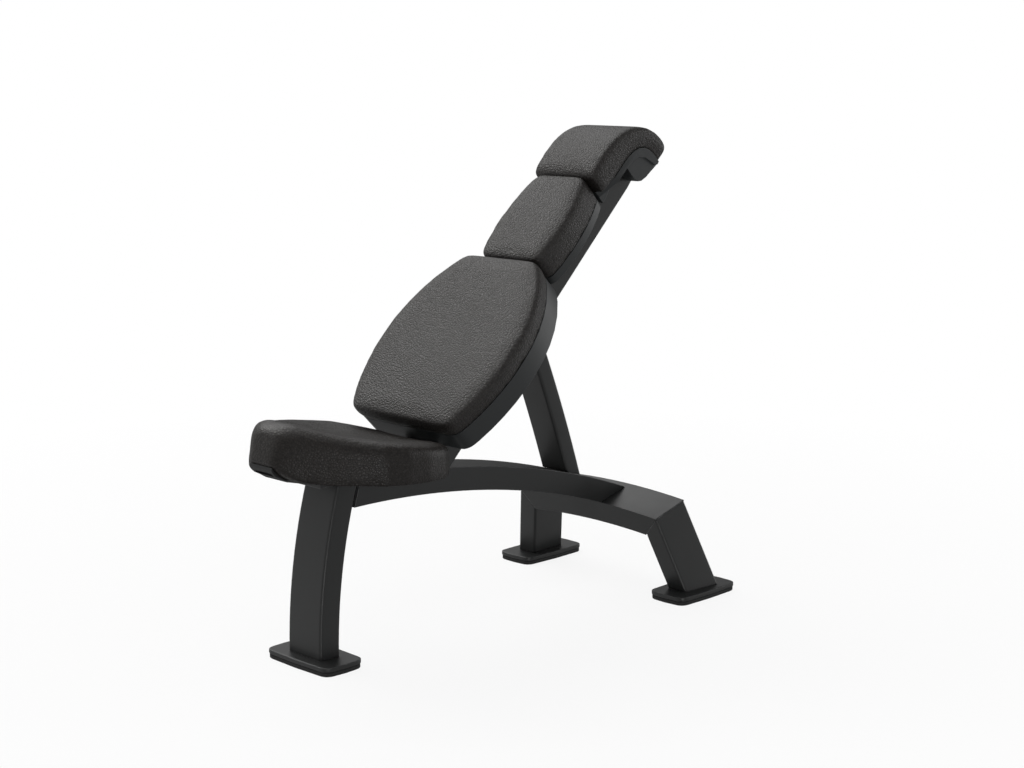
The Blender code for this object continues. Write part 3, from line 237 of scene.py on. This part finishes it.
def nylon_material():
    s = Shader("black_nylon")
    rounded = s.soft_edges(0.0010)
    base = s.mix(s.noise(14.0, 3.0), rgb(24, 25, 25), rgb(34, 35, 35))
    rough = s.span(s.noise(300.0, 3.0), 0.3, 0.7, 0.42, 0.56)
    normal = s.bump(s.noise(1400.0, 2.0), 0.15, 0.0002, rounded)
    return s.finish(base, rough, normal)


def rubber_material():
    s = Shader("foot_rubber")
    rounded = s.soft_edges(0.0012)
    dust = s.span(s.noise(45.0, 4.0), 0.52, 0.75)
    base = s.mix(s.math("MULTIPLY", dust, 0.4), rgb(30, 30, 30), rgb(54, 53, 51))
    rough = s.span(s.noise(500.0, 3.0), 0.3, 0.7, 0.62, 0.82)
    normal = s.bump(s.noise(900.0, 3.0, 0.7), 0.30, 0.0003, rounded)
    return s.finish(base, rough, normal)


def zinc_material():
    s = Shader("zinc_plate")
    rounded = s.soft_edges(0.0006)
    brushed = s.noise(260.0, 3.0, 0.6, s.stretch((1.0, 12.0, 12.0)))
    base = s.mix(brushed, rgb(150, 151, 152), rgb(190, 191, 190))
    base = s.mix(s.math("MULTIPLY", s.span(s.noise(30.0, 4.0), 0.55, 0.75), 0.3), base,
                 rgb(178, 170, 150))
    rough = s.span(brushed, 0.2, 0.8, 0.26, 0.42)
    normal = s.bump(brushed, 0.06, 0.0001, rounded)
    return s.finish(base, rough, normal, Metallic=1.0)


def spring_material():
    s = Shader("spring_steel")
    base = s.mix(s.noise(200.0, 3.0), rgb(92, 92, 94), rgb(130, 130, 132))
    rough = s.span(s.noise(800.0, 2.0), 0.3, 0.7, 0.24, 0.36)
    return s.finish(base, rough, s.bump(s.noise(2500.0), 0.08, 0.0001), Metallic=1.0)


def plywood_material():
    s = Shader("plywood")
    grain = s.noise(26.0, 5.0, 0.65, s.stretch((9.0, 1.0, 1.0)), 0.6)
    pores = s.noise(420.0, 3.0, 0.7, s.stretch((4.0, 1.0, 1.0)))
    base = s.mix(grain, rgb(176, 139, 96), rgb(138, 100, 63))
    base = s.mix(s.math("MULTIPLY", s.span(pores, 0.58, 0.75), 0.5), base, rgb(96, 66, 40))
    normal = s.bump(s.math("ADD", grain, pores), 0.25, 0.0003)
    return s.finish(base, s.span(grain, 0.3, 0.7, 0.55, 0.72), normal)


SLOT_LOOKS = {
    "coat": coat_material(),
    "vinyl": vinyl_material("grained_vinyl", 235.0, 0.0010, (1, 1, 1), 0.28, 0.5),
    "shell": shell_material(),
    "nylon": nylon_material(),
    "rubber": rubber_material(),
    "zinc": zinc_material(),
    "board": plywood_material(),
}
SPRING = spring_material()
SEAT_VINYL = vinyl_material("grained_vinyl_seat", 210.0, 0.0006, (0.8, 1.2, 1.0), 0.26, 0.34)


def paint(obj, material):
    obj.data.materials.clear()
    obj.data.materials.append(material)


def paint_frame():
    """Each CAD node in its slot's look, but two dark ones: the leg's flange, painted black as
    painted shade for the shadow gap at the leg's joint, and the seat's lip.
    """
    for row in frame["record"]["subparts"]:
        node = NODES[row["node"]]
        paint(node, SLOT_LOOKS[row["material_slot"]])
    # leg_flange in black nylon is painted shade: it stands in for the shadow gap where the beam
    # meets the leg
    for name in ("leg_flange", "seat_shell"):
        paint(NODES[name], SLOT_LOOKS["nylon"])
    for name, node in NODES.items():
        if not name.endswith("_cushion"):
            smooth_node(node)


# ---------------------------------------------------------------- meshes from CAD nodes

def welded(node):
    """A CAD node's mesh with its doubled points merged and its faces turned outward."""
    bm = bmesh.new()
    bm.from_mesh(NODES[node].data)
    bmesh.ops.remove_doubles(bm, verts=bm.verts, dist=WELD)
    bmesh.ops.recalc_face_normals(bm, faces=bm.faces)
    return bm


def node_copy(node, name):
    """A welded copy of a CAD node's mesh as a new object."""
    mesh = bpy.data.meshes.new(name)
    bm = welded(node)
    bm.to_mesh(mesh)
    bm.free()
    obj = bpy.data.objects.new(name, mesh)
    bpy.context.scene.collection.objects.link(obj)
    return obj


def bake(obj):
    """Apply every modifier by swapping in the evaluated mesh."""
    graph = bpy.context.evaluated_depsgraph_get()
    mesh = bpy.data.meshes.new_from_object(obj.evaluated_get(graph))
    old = obj.data
    obj.modifiers.clear()
    obj.data = mesh
    mesh.name = obj.name
    bpy.data.meshes.remove(old)


def co_of(obj):
    co = np.empty(len(obj.data.vertices) * 3)
    obj.data.vertices.foreach_get("co", co)
    return co.reshape(-1, 3)


def set_co(obj, co):
    obj.data.vertices.foreach_set("co", co.reshape(-1))
    obj.data.update()


def smooth_all(obj):
    obj.data.polygons.foreach_set("use_smooth", [True] * len(obj.data.polygons))


def remesh(obj, voxel):
    mod = obj.modifiers.new("voxels", "REMESH")
    mod.mode = "VOXEL"
    mod.voxel_size = voxel
    bake(obj)


# ---------------------------------------------------------------- the four cushions

# the flat under the seat pad: y and height at its front and rear
SEAT_BASE_FRONT = (-0.4915, 0.3838)
SEAT_BASE_REAR = (-0.1755, 0.3685)

# heights above what a pad rests on: held still, put back on the CAD, and fully rounded
HELD = 0.0040
PUT_BACK = 0.0035
ROUNDED_OVER = 0.014
FIRST_LIFT = 0.010

CLOTH_STEPS = 20
CLOTH_PRESSURE = 3.0
EVEN_ROUNDS = 14


def surface_of(node):
    bm = welded(node)
    tree = BVHTree.FromBMesh(bm)
    bm.free()
    return tree


def snap_to(tree, co, mask=None):
    """Move points onto the nearest place of a surface."""
    out = co.copy()
    chosen = range(len(co)) if mask is None else np.nonzero(mask)[0]
    for i in chosen:
        out[i] = tree.find_nearest(Vector(co[i]))[0]
    return out


def distance_to(tree, co):
    return np.array([tree.find_nearest(Vector(p))[3] for p in co])


def spread(obj, values, rounds):
    """Average a per-vertex quantity along the mesh edges."""
    edges = np.empty(len(obj.data.edges) * 2, dtype=np.int64)
    obj.data.edges.foreach_get("vertices", edges)
    a, b = edges.reshape(-1, 2).T
    count = np.bincount(np.concatenate((a, b)), minlength=len(values))[:, None]
    for _ in range(rounds):
        total = np.zeros_like(values)
        np.add.at(total, a, values[b])
        np.add.at(total, b, values[a])
        values = 0.5 * values + 0.5 * total / np.maximum(count, 1)
    return values


def normals_of(obj):
    out = np.empty(len(obj.data.vertices) * 3)
    obj.data.vertices.foreach_get("normal", out)
    return out.reshape(-1, 3)


def swell(obj, fixed, cap):
    """Blow the pad up with cloth; only the outward motion is kept, capped and evened out."""
    start = co_of(obj)
    normals = normals_of(obj)
    group = obj.vertex_groups.new(name="held")
    group.add([int(i) for i in np.nonzero(fixed)[0]], 1.0, "REPLACE")
    cloth = obj.modifiers.new("cloth", "CLOTH")
    cloth.settings.use_pressure = True
    cloth.settings.uniform_pressure_force = CLOTH_PRESSURE
    cloth.settings.vertex_group_mass = "held"
    cloth.settings.tension_stiffness = 30
    cloth.settings.compression_stiffness = 30
    cloth.settings.shear_stiffness = 12
    cloth.settings.bending_stiffness = 2
    cloth.settings.effector_weights.gravity = 0
    cloth.settings.quality = 4
    cloth.point_cache.frame_start = 1
    cloth.point_cache.frame_end = CLOTH_STEPS
    for step in range(1, CLOTH_STEPS + 1):
        bpy.context.scene.frame_set(step)
    graph = bpy.context.evaluated_depsgraph_get()
    blown = bpy.data.meshes.new_from_object(obj.evaluated_get(graph))
    co = np.empty(len(blown.vertices) * 3)
    blown.vertices.foreach_get("co", co)
    bpy.data.meshes.remove(blown)
    obj.modifiers.clear()
    obj.vertex_groups.clear()
    move = co.reshape(-1, 3) - start
    out = np.maximum((move * normals).sum(1), 0.0)
    out = cap * np.tanh(out / cap)
    out[fixed] = 0.0
    out = spread(obj, out[:, None], EVEN_ROUNDS)
    out[fixed] = 0.0
    set_co(obj, start + normals * out)
    bpy.context.scene.frame_set(1)


def subdivide(obj):
    mod = obj.modifiers.new("finer", "SUBSURF")
    mod.levels = 1
    mod.render_levels = 1
    bake(obj)


def finish_cushion(obj, node, body, look):
    smooth_all(obj)
    paint(obj, look)
    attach(obj, body)
    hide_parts(node)


def ease(obj, rounds, near, grow=0.0):
    """Round the corners of a mesh by averaging its points, less so near its base."""
    co = co_of(obj)
    soft = spread(obj, co, rounds)
    middle = 0.5 * (soft.min(axis=0) + soft.max(axis=0))
    soft = middle + (soft - middle) * (1.0 + grow)
    share = np.clip((near - HELD) / ROUNDED_OVER, 0.0, 1.0)[:, None]
    set_co(obj, co + (soft - co) * share)


def height_on_base(rests_on, co):
    """Each point's distance from what the pad rests on; the seat rests on its own flat."""
    if rests_on is None:
        slope = (SEAT_BASE_FRONT[1] - SEAT_BASE_REAR[1]) / (SEAT_BASE_FRONT[0] - SEAT_BASE_REAR[0])
        return co[:, 2] - SEAT_BASE_REAR[1] - slope * (co[:, 1] - SEAT_BASE_REAR[0])
    return distance_to(surface_of(rests_on), co)


def cushion(node, body, rests_on, voxel, cap, look, rounding, grow):
    """A stuffed pad grown from the CAD solid; what rests on the base keeps its place."""
    obj = node_copy(node, node.replace("cushion", "pad"))
    cad = surface_of(node)
    remesh(obj, voxel)
    set_co(obj, snap_to(cad, co_of(obj)))
    ease(obj, 3, height_on_base(rests_on, co_of(obj)) + FIRST_LIFT)
    ease(obj, rounding, height_on_base(rests_on, co_of(obj)), grow)
    held = height_on_base(rests_on, co_of(obj)) < HELD
    swell(obj, held, cap)
    subdivide(obj)
    co = co_of(obj)
    set_co(obj, snap_to(cad, co, height_on_base(rests_on, co) < PUT_BACK))
    finish_cushion(obj, node, body, look)


def cushions():
    vinyl = SLOT_LOOKS["vinyl"]
    cushion("main_cushion", "backrest", "main_shell", 0.005, 0.0030, vinyl, 22, 0.016)
    cushion("mid_cushion", "backrest", "mid_shell", 0.0045, 0.0028, vinyl, 24, 0.024)
    cushion("head_cushion", "backrest", "head_shell", 0.0045, 0.0026, vinyl, 15, 0.028)
    cushion("seat_cushion", "frame", None, 0.005, 0.0014, SEAT_VINYL, 4, 0.004)


# ---------------------------------------------------------------- the lock's return spring

SPRING_TURNS = 6.5
SPRING_WIRE = 0.0007
CLOSED_TURNS = 1.25


def coil(box, turns, wire, closed):
    """A compression spring along x with closed ends, fitted to a box."""
    low, high = (np.array(v) for v in box)
    centre = 0.5 * (low + high)
    radius = 0.5 * (high[1] - low[1]) - wire
    reach = high[0] - low[0] - 2 * wire
    steps = int(turns * 36)
    curve = bpy.data.curves.new("return_spring", "CURVE")
    curve.dimensions = "3D"
    curve.bevel_depth = wire
    curve.bevel_resolution = 3
    curve.use_fill_caps = True
    spline = curve.splines.new("POLY")
    spline.points.add(steps)
    for i, point in enumerate(spline.points):
        turn = turns * i / steps
        end = 2.1 * wire * closed
        if turn < closed:
            x = end * turn / closed
        elif turn > turns - closed:
            x = reach - end * (turns - turn) / closed
        else:
            x = end + (reach - 2 * end) * (turn - closed) / (turns - 2 * closed)
        a = 2 * math.pi * turn
        point.co = (low[0] + wire + x, centre[1] + radius * math.cos(a),
                    centre[2] + radius * math.sin(a), 1.0)
    maker = bpy.data.objects.new("coil_path", curve)
    mesh = bpy.data.meshes.new_from_object(maker)
    bpy.data.objects.remove(maker)
    bpy.data.curves.remove(curve)
    mesh.name = "return_spring"
    obj = bpy.data.objects.new("return_spring", mesh)
    bpy.context.scene.collection.objects.link(obj)
    return obj


def return_spring():
    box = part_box("lock_spring")
    obj = coil(box, SPRING_TURNS, SPRING_WIRE, CLOSED_TURNS)
    smooth_all(obj)
    paint(obj, SPRING)
    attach(obj, "frame")
    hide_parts("lock_spring")
    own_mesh(obj)


# ---------------------------------------------------------------- smooth shading of CAD nodes

def smooth_node(obj, angle=32.0):
    """Corner normals averaged over near-level neighbours; no vertex moves."""
    mesh = obj.data
    faces, corners = len(mesh.polygons), len(mesh.loops)
    normal = np.empty(faces * 3)
    mesh.polygons.foreach_get("normal", normal)
    normal = normal.reshape(-1, 3)
    area = np.empty(faces)
    mesh.polygons.foreach_get("area", area)
    start = np.empty(faces, dtype=np.int64)
    total = np.empty(faces, dtype=np.int64)
    mesh.polygons.foreach_get("loop_start", start)
    mesh.polygons.foreach_get("loop_total", total)
    vertex = np.empty(corners, dtype=np.int64)
    mesh.loops.foreach_get("vertex_index", vertex)
    face_of = np.empty(corners, dtype=np.int64)
    for f in range(faces):
        face_of[start[f]:start[f] + total[f]] = f
    keys = np.round(co_of(obj) / WELD).astype(np.int64)
    _, place = np.unique(keys, axis=0, return_inverse=True)
    place = place.reshape(-1)[vertex]
    order = np.argsort(place, kind="stable")
    limit = math.cos(math.radians(angle))
    result = normal[face_of].copy()
    cuts = np.nonzero(np.diff(place[order]))[0] + 1
    for group in np.split(order, cuts):
        around = face_of[group]
        n = normal[around]
        level = (n @ n.T) > limit
        mixed = level @ (n * area[around][:, None])
        size = np.linalg.norm(mixed, axis=1, keepdims=True)
        result[group] = np.where(size > 1e-12, mixed / np.maximum(size, 1e-12), n)
    smooth_all(obj)
    mesh.normals_split_custom_set([tuple(v) for v in result])


# ---------------------------------------------------------------- stage

FLOOR_RADIUS = 3.0
FLOOR_DROP = 0.0004
FLOOR_SHOWN = 0.11
FADE_FROM = 0.7
FADE_TO = 2.4


def floor():
    """A pale round floor that fades out, so that no horizon shows behind the bench."""
    bm = bmesh.new()
    bmesh.ops.create_circle(bm, cap_ends=True, segments=96, radius=FLOOR_RADIUS)
    mesh = bpy.data.meshes.new("floor")
    bm.to_mesh(mesh)
    bm.free()
    obj = bpy.data.objects.new("floor", mesh)
    bpy.context.scene.collection.objects.link(obj)
    obj.location = (0, 0, -FLOOR_DROP)
    s = Shader("pale_floor")
    reach = s.add("ShaderNodeVectorMath", operation="LENGTH")
    s.feed(reach.inputs[0], s.place)
    shown = s.span(reach.outputs["Value"], FADE_FROM, FADE_TO, FLOOR_SHOWN, 0.0)
    grain = s.mix(s.noise(3.0, 2.0), (0.93, 0.93, 0.93, 1), (0.96, 0.96, 0.96, 1))
    solid = s.add("ShaderNodeBsdfDiffuse")
    s.feed(solid.inputs["Color"], grain)
    clear = s.add("ShaderNodeBsdfTransparent")
    both = s.add("ShaderNodeMixShader")
    s.feed(both.inputs[0], shown)
    s.feed(both.inputs[1], clear.outputs[0])
    s.feed(both.inputs[2], solid.outputs[0])
    out = s.add("ShaderNodeOutputMaterial")
    s.feed(out.inputs["Surface"], both.outputs[0])
    paint(obj, s.material)


def area_light(name, place, target, size, power):
    data = bpy.data.lights.new(name, "AREA")
    data.shape = "RECTANGLE"
    data.size, data.size_y = size
    data.energy = power
    data.color = (1.0, 0.985, 0.955)
    obj = bpy.data.objects.new(name, data)
    bpy.context.scene.collection.objects.link(obj)
    obj.location = place
    obj.rotation_euler = (Vector(target) - Vector(place)).to_track_quat("-Z", "Y").to_euler()


# direction, where the glow starts and is full (as cosines), and its strength;
# the one below zero takes light away
GLOWS = (
    ((-0.72, -0.68, -0.05), 0.10, 1.00, 0.48),
    ((0.80, 0.55, -0.15), 0.10, 1.00, 0.28),
    ((0.27, 0.95, 0.12), 0.90, 0.995, 1.30),
    ((0.0, -0.4, 1.0), 0.30, 1.00, 0.15),
    ((-0.62, 0.12, 0.78), 0.86, 0.94, 1.70),
    ((-0.70, 0.56, 0.44), 0.920, 0.995, 0.55),
    ((-0.70, 0.71, 0.05), 0.800, 0.970, -0.07),
    ((0.81, -0.57, -0.14), 0.960, 0.996, 4.20),
    ((0.22, -0.20, 0.95), 0.930, 0.992, 1.60),
)
AMBIENT = 0.07


def studio():
    """A room of soft glows that only the bench sees; behind it the world is plain white."""
    world = bpy.data.worlds.new("studio")
    world.use_nodes = True
    tree = world.node_tree
    tree.nodes.clear()
    way = tree.nodes.new("ShaderNodeTexCoord").outputs["Generated"]
    level = None
    for aim, low, high, gain in GLOWS:
        dot = tree.nodes.new("ShaderNodeVectorMath")
        dot.operation = "DOT_PRODUCT"
        tree.links.new(way, dot.inputs[0])
        dot.inputs[1].default_value = Vector(aim).normalized()
        ramp = tree.nodes.new("ShaderNodeMapRange")
        ramp.interpolation_type = "SMOOTHSTEP"
        tree.links.new(dot.outputs["Value"], ramp.inputs["Value"])
        ramp.inputs["From Min"].default_value = low
        ramp.inputs["From Max"].default_value = high
        ramp.inputs["To Max"].default_value = gain
        total = tree.nodes.new("ShaderNodeMath")
        tree.links.new(ramp.outputs["Result"], total.inputs[0])
        if level is None:
            total.inputs[1].default_value = AMBIENT
        else:
            tree.links.new(level, total.inputs[1])
        level = total.outputs[0]
    soft = tree.nodes.new("ShaderNodeBackground")
    soft.inputs["Color"].default_value = (1, 1, 1, 1)
    tree.links.new(level, soft.inputs["Strength"])
    seen = tree.nodes.new("ShaderNodeBackground")
    seen.inputs["Color"].default_value = (1, 1, 1, 1)
    path = tree.nodes.new("ShaderNodeLightPath")
    mix = tree.nodes.new("ShaderNodeMixShader")
    out = tree.nodes.new("ShaderNodeOutputWorld")
    tree.links.new(path.outputs["Is Camera Ray"], mix.inputs[0])
    tree.links.new(soft.outputs[0], mix.inputs[1])
    tree.links.new(seen.outputs[0], mix.inputs[2])
    tree.links.new(mix.outputs[0], out.inputs["Surface"])
    bpy.context.scene.world = world


def lights():
    area_light("softbox_left", (-2.9, -0.75, 3.3), (0.0, 0.0, 0.5), (1.8, 1.8), 34)
    studio()
    bpy.context.scene.view_settings.view_transform = "Standard"
    bpy.context.scene.view_settings.look = "None"


CAMERA_PLACE = (2.7406, -2.6490, 1.18695)
CAMERA_TILT = 79.827
CAMERA_TURN = 44.675
CAMERA_LENS = 65.08


def camera():
    data = bpy.data.cameras.new("camera")
    data.lens = CAMERA_LENS
    data.sensor_width = 36.0
    obj = bpy.data.objects.new("camera", data)
    bpy.context.scene.collection.objects.link(obj)
    obj.location = CAMERA_PLACE
    obj.rotation_euler = Euler((math.radians(CAMERA_TILT), 0, math.radians(CAMERA_TURN)))
    bpy.context.scene.camera = obj


def main():
    paint_frame()
    cushions()
    return_spring()
    floor()
    lights()
    camera()


main()
